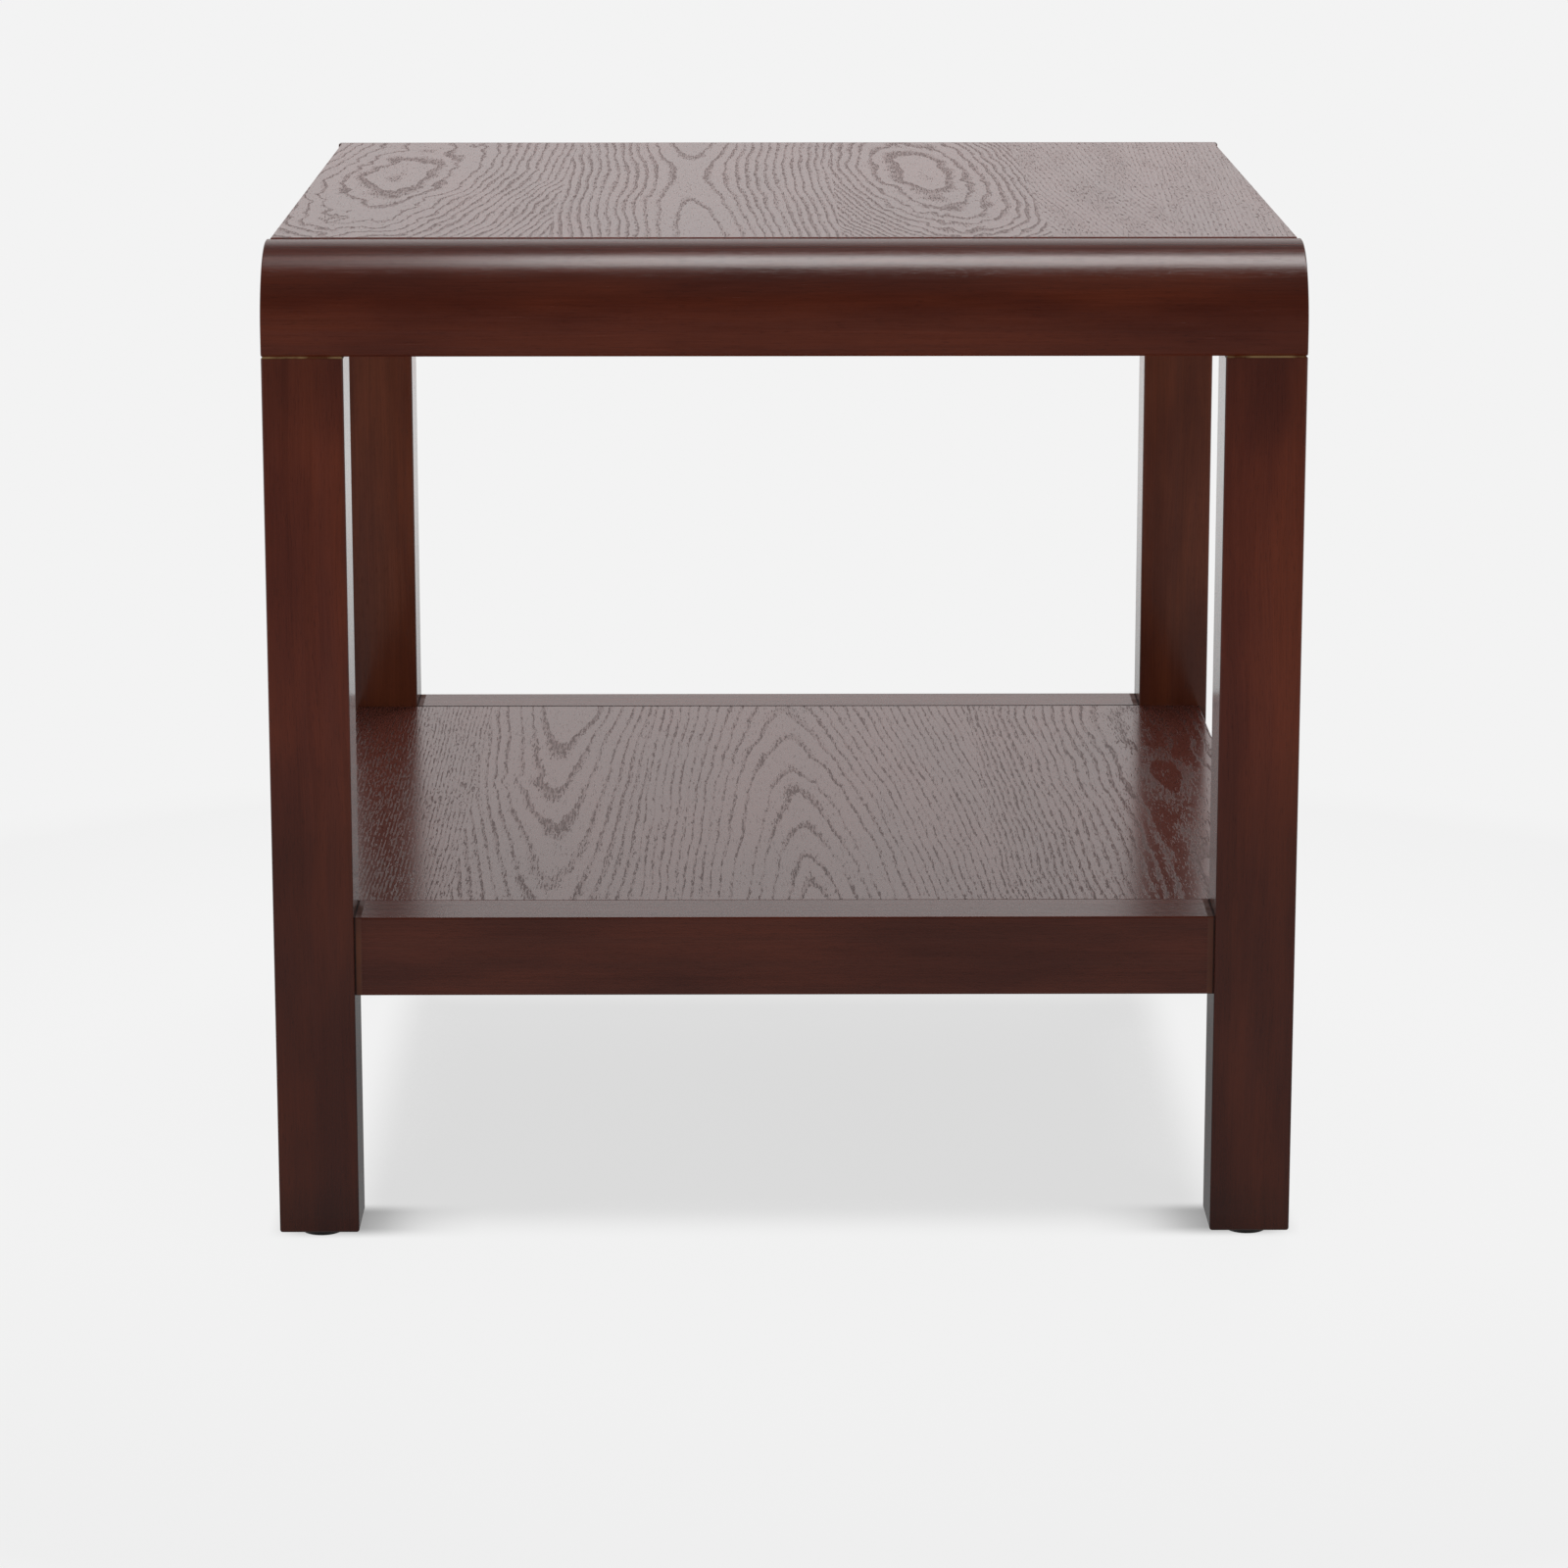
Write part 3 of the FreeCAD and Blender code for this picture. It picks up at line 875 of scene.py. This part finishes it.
@dataclass
class Shelf:
    """The lower shelf: two rails between the legs and a veneered panel on bearers."""

    half_depth: float = 261.0
    rubbed: Pair = (232.0, 236.0)
    joint: Pair = (235.2, 236.6)
    seam: Pair = (260.6, 263.2)

    def build(self) -> None:
        """Dresses the rails, whose ends are rubbed beside the joint with the leg, and the panel."""
        rubbed = WearAndShadowBand("X", *self.rubbed, RUBBED_BROWN, 0.7, least=0.5, both_sides=True)
        # Painted shadow lines: near-black in the joint with each leg and along the back seam.
        joint = WearAndShadowBand("X", *self.joint, JOINT_SHADOW, 0.9, least=0.9, both_sides=True)
        seam = WearAndShadowBand("Y", *self.seam, JOINT_SHADOW, 1.0, least=0.9)
        rail = StainedTimber(
            "shelf_rail_wood",
            GrainAxis.ACROSS_TABLE,
            deep=(0.045, 0.0080, 0.0036), warm=(0.068, 0.0130, 0.0055), dull=(0.050, 0.0115, 0.0062),
            seed=16.0, roughness=0.27, painted_top_light=0.6,
            knots=(Knot(-13.0, -270.0, 184.0, 3.0),),
            bare=(rubbed, joint, seam),
        )
        dress(("shelf_rail_front", "shelf_rail_back"), rail.material())
        dress(("shelf_panel_veneer",), self.veneer().material())

    def veneer(self) -> FiguredVeneer:
        """Describes the shelf's leaves of veneer.

        Returns:
            The finish.
        """
        front, back = -self.half_depth, self.half_depth
        straight = ((front, 40.0), (0.0, 40.0), (back, 40.0))
        leaves = (
            VeneerLeaf(
                left=-280.0,
                pith=((front, -62.0), (-120.0, -60.0), (back, -61.0)),
                depth=straight,
                rings=((100.0, 0.0), (150.0, 19.0), (180.0, 32.0), (260.0, 68.0)),
                warp=1.8, kinks=0.3, calm_from=9.0, pore_band=1.4, faintest=0.4, strongest=0.85,
                plain=0.16, ragged=0.35, bundle=2.5,
            ),
            VeneerLeaf(
                left=-186.0,
                pith=((front, -130.0), (-100.0, -133.0), (50.0, -137.0), (back, -135.0)),
                depth=(
                    (front, 46.0), (-194.0, 41.5), (-70.0, 34.0), (25.0, 26.8), (152.0, 20.0),
                    (200.0, 15.0), (back, 8.0),
                ),
                rings=(
                    (0.0, 2.2), (20.0, 3.0), (26.8, 4.0), (34.0, 5.0), (41.5, 6.0), (60.0, 9.6),
                    (90.0, 17.0),
                ),
                warp=1.6, kinks=1.7, calm_from=50.0,
                pinches=(Pinch(-161.0, 38.0, 5.0, 24.0, 26.0),),
                pore_band=2.2, faintest=0.5, arch=1.5, roundness=1.7,
            ),
            VeneerLeaf(
                left=-82.0,
                pith=((front, 17.0), (-84.0, 13.0), (76.0, 7.0), (back, 2.0)),
                depth=(
                    (front, 6.0), (-235.0, 10.8), (-165.0, 19.0), (-96.0, 29.0), (0.0, 38.0),
                    (58.0, 45.0), (153.0, 56.0), (back, 66.0),
                ),
                rings=(
                    (0.0, 0.2), (10.8, 1.0), (19.0, 2.0), (29.0, 3.0), (38.0, 4.0), (45.0, 5.0),
                    (56.0, 6.0), (90.0, 11.4), (140.0, 20.5),
                ),
                warp=2.4, kinks=1.7, roundness=1.6, spread=1.2, pore_band=2.1, pore_band_at_pith=2.4,
                faintest=0.45, arch=1.5,
            ),
            VeneerLeaf(
                left=123.0,
                pith=((front, 250.0), (-60.0, 242.0), (90.0, 236.0), (back, 230.0)),
                depth=(
                    (front, 3.0), (-236.0, 1.0), (-150.0, 14.0), (-60.0, 15.0), (60.0, 4.0),
                    (110.0, 12.0), (165.0, 2.0), (back, 16.0),
                ),
                rings=((0.0, 0.4), (9.0, 1.0), (26.0, 2.0), (50.0, 5.5), (90.0, 13.0), (140.0, 27.0)),
                warp=2.6, kinks=3.0, calm_from=50.0, pore_band_at_pith=12.0, lumps=7.0,
            ),
        )
        return FiguredVeneer(
            "shelf_veneer",
            leaves,
            self.half_depth,
            smooth=(0.142, 0.041, 0.031), pored=(0.085, 0.028, 0.022), seed=20.0,
        )


@dataclass
class Glides:
    """The four round pads, each with its nail."""

    def build(self) -> None:
        """Dresses the pads and the nails."""
        dress(tuple(f"glide_{place}" for place in LEG_PLACES), MouldedNylon("glide_plastic").material())
        nail = PlatedSteel("nail_steel", (0.58, 0.58, 0.59), (0.42, 0.42, 0.43), 0.30)
        dress(("glide_nails",), nail.material())


@dataclass
class Fastenings:
    """The dowels and screws inside and under the table."""

    dowel_nodes: tuple[str, ...] = (
        "leg_dowels",
        "top_panel_dowels",
        "apron_dowels",
        "shelf_rail_dowels",
        "shelf_bearer_dowels",
        "shelf_panel_dowels",
    )
    screw_nodes: tuple[str, ...] = ("top_panel_screws", "corner_block_screws", "shelf_panel_screws")

    def build(self) -> None:
        """Dresses the dowels and screws."""
        dowel = BareTimber("dowel_wood", (0.74, 0.58, 0.40), (0.60, 0.43, 0.27), seed=6.0)
        dress(self.dowel_nodes, dowel.material())
        screw = PlatedSteel("screw_steel", (0.66, 0.55, 0.30), (0.48, 0.42, 0.30), 0.32)
        dress(self.screw_nodes, screw.material())


@dataclass(frozen=True)
class Softbox:
    """A flat rectangular lamp: where it is, where it points, its size in metres and its brightness."""

    name: str
    place: Triple
    aim: Triple
    width: float
    depth: float
    brightness: float
    shows_in_gloss: bool = True
    lights_body: bool = True

    def build(self) -> None:
        """Adds the lamp. Its brightness is what a white card filling the view would show."""
        light = bpy.data.lights.new(self.name, "AREA")
        light.shape = "RECTANGLE"
        light.size, light.size_y = self.width, self.depth
        light.energy = self.brightness * math.pi * self.width * self.depth
        lamp = bpy.data.objects.new(self.name, light)
        lamp.location = self.place
        direction = Vector(self.aim) - Vector(self.place)
        lamp.rotation_euler = direction.to_track_quat("-Z", "Y").to_euler()
        lamp.visible_glossy = self.shows_in_gloss
        lamp.visible_diffuse = self.lights_body
        lamp.visible_camera = False
        bpy.context.scene.collection.objects.link(lamp)
        LOG.info("%s: lamp of %.1f W", self.name, light.energy)


@dataclass(frozen=True)
class Flag:
    """A dark card: half its width, the (Y, Z) of both long edges, all in metres, and its brightness there."""

    name: str
    half_width: float
    far_edge: Pair
    near_edge: Pair
    far: float
    near: float


@dataclass
class Studio:
    """The pale floor and surround, the lamps and the camera.

    The floor's glow has a painted shade that fades over the shade spans and painted contact shadows that fade
    over the foot spans, and beyond the rim it is as pale as the surround, all in millimetres from the middle.
    What the gloss shows of the surround goes by how steeply it looks up, and of the floor by how far out
    it looks.
    """

    pale: float = 0.896
    floor_radius: float = 3.0
    floor_sides: int = 96
    floor_albedo: float = 0.80
    floor_glow: float = 0.932
    shadow_share: float = 0.08
    shadow_depth: float = 0.195
    contact: Points = (
        (170.0, 0.0), (187.0, 0.045), (196.0, 0.085), (206.0, 0.155), (216.0, 0.28), (226.0, 0.43),
        (237.0, 0.565),
    )
    floor_mirrored: Points = (
        (0.0, 0.12), (300.0, 0.20), (700.0, 0.40), (1350.0, 0.62), (1900.0, 0.78), (2300.0, 0.88),
        (3000.0, 0.896),
    )
    mirrored: Points = (
        (0.0, 0.896), (0.05, 0.896), (0.11, 0.72), (0.204, 0.91), (0.222, 0.82), (0.26, 0.79),
        (0.52, 0.66), (0.74, 0.10), (1.0, 0.10),
    )
    mirrored_cast: Colour = (1.0, 0.967, 0.965)
    ambient_low: float = 0.80
    ambient_high: float = 0.10
    ambient_fades: Pair = (0.35, 0.80)
    shade_front: Pair = (-304.0, -240.0)
    shade_back: Pair = (180.0, 290.0)
    shade_side: Pair = (224.0, 260.0)
    shade_reach: float = 0.21
    shade_opens: Pair = (0.78, 0.92)
    foot_inner: Pair = (234.0, 253.0)
    foot_outer: Pair = (280.0, 302.0)
    foot_side: Pair = (262.0, 290.0)
    rim: Pair = (420.0, 950.0)
    flags: tuple[Flag, ...] = (
        Flag("floor_flag", 3.0, (-6.0, 0.002), (-0.34, 0.002), 0.13, 0.28),
        Flag("room_flag", 5.0, (-6.0, 0.0), (-6.0, 6.5), 0.03, 0.03),
    )
    flag_fades: Pair = (-3000.0, -340.0)
    lens: float = 119.11
    sensor_width: float = 36.0
    camera_place: Triple = (-0.0201, -3.0589, 0.8833)
    pitch_down: float = 12.756
    turn_right: float = 0.41
    lamps: tuple[Softbox, ...] = (
        Softbox("overhead_softbox", (0.52, 0.0, 1.95), (0.52, 0.0, 0.0), 1.50, 0.54, 7.4, lights_body=False),
        Softbox("overhead_strip", (-0.55, 0.0, 1.95), (-0.55, 0.0, 0.0), 0.64, 0.54, 1.1, lights_body=False),
        Softbox("overhead_fill", (0.3, 0.20, 1.95), (0.3, 0.20, 0.0), 1.50, 0.60, 0.4, shows_in_gloss=False),
        Softbox("front_fill", (-0.5, -2.8, 0.75), (0.0, 0.0, 0.3), 2.4, 1.4, 2.4, shows_in_gloss=False),
        Softbox("back_fill", (0.3, 2.4, 1.45), (0.0, 0.0, 0.3), 2.4, 1.2, 5.0, shows_in_gloss=False),
    )

    def build(self) -> None:
        """Builds the studio."""
        self.surround()
        self.floor()
        self.dark_cards()
        for lamp in self.lamps:
            lamp.build()
        self.camera()

    def surround(self) -> None:
        """Makes the world: a pale backdrop, its darker reflection, and soft light that comes in low down."""
        g = ShaderGraph(bpy.data.worlds.new("surround"))
        bpy.context.scene.world = g.owner
        g.owner.cycles.sampling_method = "NONE"
        split = g.node("ShaderNodeSeparateXYZ")
        g.feed(split.inputs[0], g.node("ShaderNodeTexCoord").outputs["Generated"])
        rise = g.math("MAXIMUM", split.outputs["Z"], 0.0)
        rays = g.node("ShaderNodeLightPath")
        behind = g.profile(rise, self.mirrored)
        shades = [
            g.choose(rays.outputs["Is Camera Ray"], g.times(behind, share), self.pale)
            for share in self.mirrored_cast
        ]
        backdrop = g.result("ShaderNodeBackground", (g.point(*shades),))
        soft = g.span(rise, *self.ambient_fades, self.ambient_low, self.ambient_high)
        light = g.result("ShaderNodeBackground", (g.point(soft, soft, soft),))
        mix = g.result("ShaderNodeMixShader", (self.seen_directly(g, rays), light, backdrop))
        g.feed(g.output.inputs["Surface"], mix)
        LOG.info("surround: pale backdrop")

    def seen_directly(self, g: ShaderGraph, rays: bpy.types.Node) -> Socket:
        """Gives 1 for what the camera sees, straight or by way of gloss or glass, and 0 for diffuse light."""
        mirrored = g.math("ADD", rays.outputs["Is Glossy Ray"], rays.outputs["Is Transmission Ray"])
        return g.math("MINIMUM", g.math("ADD", rays.outputs["Is Camera Ray"], mirrored), 1.0)

    def sheet(self, name: str, outline: list[Triple]) -> bpy.types.Object:
        """Makes a flat sheet.

        Args:
            name: The object's name.
            outline: Its corners in metres.

        Returns:
            The object.
        """
        mesh = bpy.data.meshes.new(name)
        mesh.from_pydata(outline, [], [tuple(range(len(outline)))])
        made = bpy.data.objects.new(name, mesh)
        bpy.context.scene.collection.objects.link(made)
        return made

    def floor(self) -> None:
        """Makes the pale floor: a lit share keeps the table's real shadow, the glow a painted one."""
        turns = [math.tau * i / self.floor_sides for i in range(self.floor_sides)]
        radius = self.floor_radius
        sheet = self.sheet("floor", [(radius * math.cos(t), radius * math.sin(t), 0.0) for t in turns])
        g = ShaderGraph.named("pale_floor")
        paint = g.result("ShaderNodeBsdfDiffuse", ((self.floor_albedo,) * 3,))
        across, forth = (g.math("ABSOLUTE", g.mm[axis]) for axis in ("X", "Y"))
        # Painted shadow under the table: the glow darkens by ambient occlusion, within the shade spans.
        behind_front = g.span(g.mm["Y"], *self.shade_front)
        beneath = g.times(behind_front, g.span(g.mm["Y"], *self.shade_back, 1.0, 0.0))
        beneath = g.times(beneath, g.span(across, *self.shade_side, 1.0, 0.0))
        closed = g.span(self.openness(g, self.shade_reach), *self.shade_opens, self.shadow_depth, 0.0)
        closed = g.times(closed, beneath)
        # Painted contact shadows on the inner side of each foot, set by place.
        beside = g.profile(g.held(across, self.contact[0][0], self.contact[-1][0]), self.contact)
        in_line = g.times(g.span(forth, *self.foot_inner), g.span(forth, *self.foot_outer, 1.0, 0.0))
        contact = g.times(g.times(beside, in_line), g.span(across, *self.foot_side, 1.0, 0.0))
        light = g.times(g.minus(1.0, closed), g.minus(1.0, contact))
        light = g.times(light, self.floor_glow)
        far = g.ramp(g.mm["X"], g.mm["X"], g.times(g.mm["Y"], g.mm["Y"]))
        far = g.math("MINIMUM", g.math("SQRT", far), MM_PER_METRE * radius)
        rim = g.span(far, *self.rim)
        rays = g.node("ShaderNodeLightPath")
        level = g.choose(rim, light, self.pale)
        level = g.choose(rays.outputs["Is Glossy Ray"], level, g.profile(far, self.floor_mirrored))
        glow = g.result("ShaderNodeEmission", (g.point(level, level, level),))
        shown = g.times(self.seen_directly(g, rays), 1.0 - self.shadow_share)
        mix = g.result("ShaderNodeMixShader", (g.math("MAXIMUM", shown, rim), paint, glow))
        g.feed(g.output.inputs["Surface"], mix)
        g.owner.cycles.emission_sampling = "NONE"
        sheet.data.materials.append(g.owner)
        LOG.info("floor: pale, %.1f m across", 2.0 * radius)

    def openness(self, g: ShaderGraph, reach: float) -> Socket:
        """Measures how open the floor is to the room.

        Args:
            g: The material's nodes.
            reach: How far off something still counts, in metres.

        Returns:
            1 in the open, and 0 right under something.
        """
        made = g.node("ShaderNodeAmbientOcclusion", samples=8)
        made.inputs["Distance"].default_value = reach
        return made.outputs["AO"]

    def dark_cards(self) -> None:
        """Stands cards in front of the table that only its gloss shows, as a studio's black flags do."""
        for flag in self.flags:
            far = [(x, *flag.far_edge) for x in (-flag.half_width, flag.half_width)]
            near = [(x, *flag.near_edge) for x in (flag.half_width, -flag.half_width)]
            card = self.sheet(flag.name, far + near)
            g = ShaderGraph.named(f"{flag.name}_cloth")
            cloth = g.stretched(g.place, (400.0, 400.0, 400.0), 1.0)
            level = g.span(g.mm["Y"], *self.flag_fades, flag.far, flag.near)
            level = g.times(level, g.span(cloth, 0.3, 0.7, 0.94, 1.06))
            glow = g.result("ShaderNodeEmission", (g.point(level, level, level),))
            g.feed(g.output.inputs["Surface"], glow)
            g.owner.cycles.emission_sampling = "NONE"
            card.data.materials.append(g.owner)
            card.visible_camera = False
            card.visible_diffuse = False
            card.visible_transmission = False
            card.visible_shadow = False
            LOG.info("%s: in front of the table, in the gloss only", flag.name)

    def camera(self) -> None:
        """Places the camera in front of the table, a little above it."""
        data = bpy.data.cameras.new("camera")
        data.lens = self.lens
        data.sensor_width = self.sensor_width
        camera = bpy.data.objects.new("camera", data)
        camera.location = self.camera_place
        camera.rotation_euler = (math.radians(90.0 - self.pitch_down), 0.0, math.radians(-self.turn_right))
        bpy.context.scene.collection.objects.link(camera)
        bpy.context.scene.camera = camera
        LOG.info("camera: %.0f mm lens", self.lens)


def main() -> None:
    """Builds and dresses the table, one sub-assembly after another."""
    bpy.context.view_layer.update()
    bpy.context.scene.view_settings.view_transform = "Standard"
    for assembly in (Studio(), Legs(), TableTop(), Shelf(), Glides(), Fastenings()):
        assembly.build()
    LOG.info("table: %d pieces dressed", len(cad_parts))


if __name__ == "__main__":
    main()
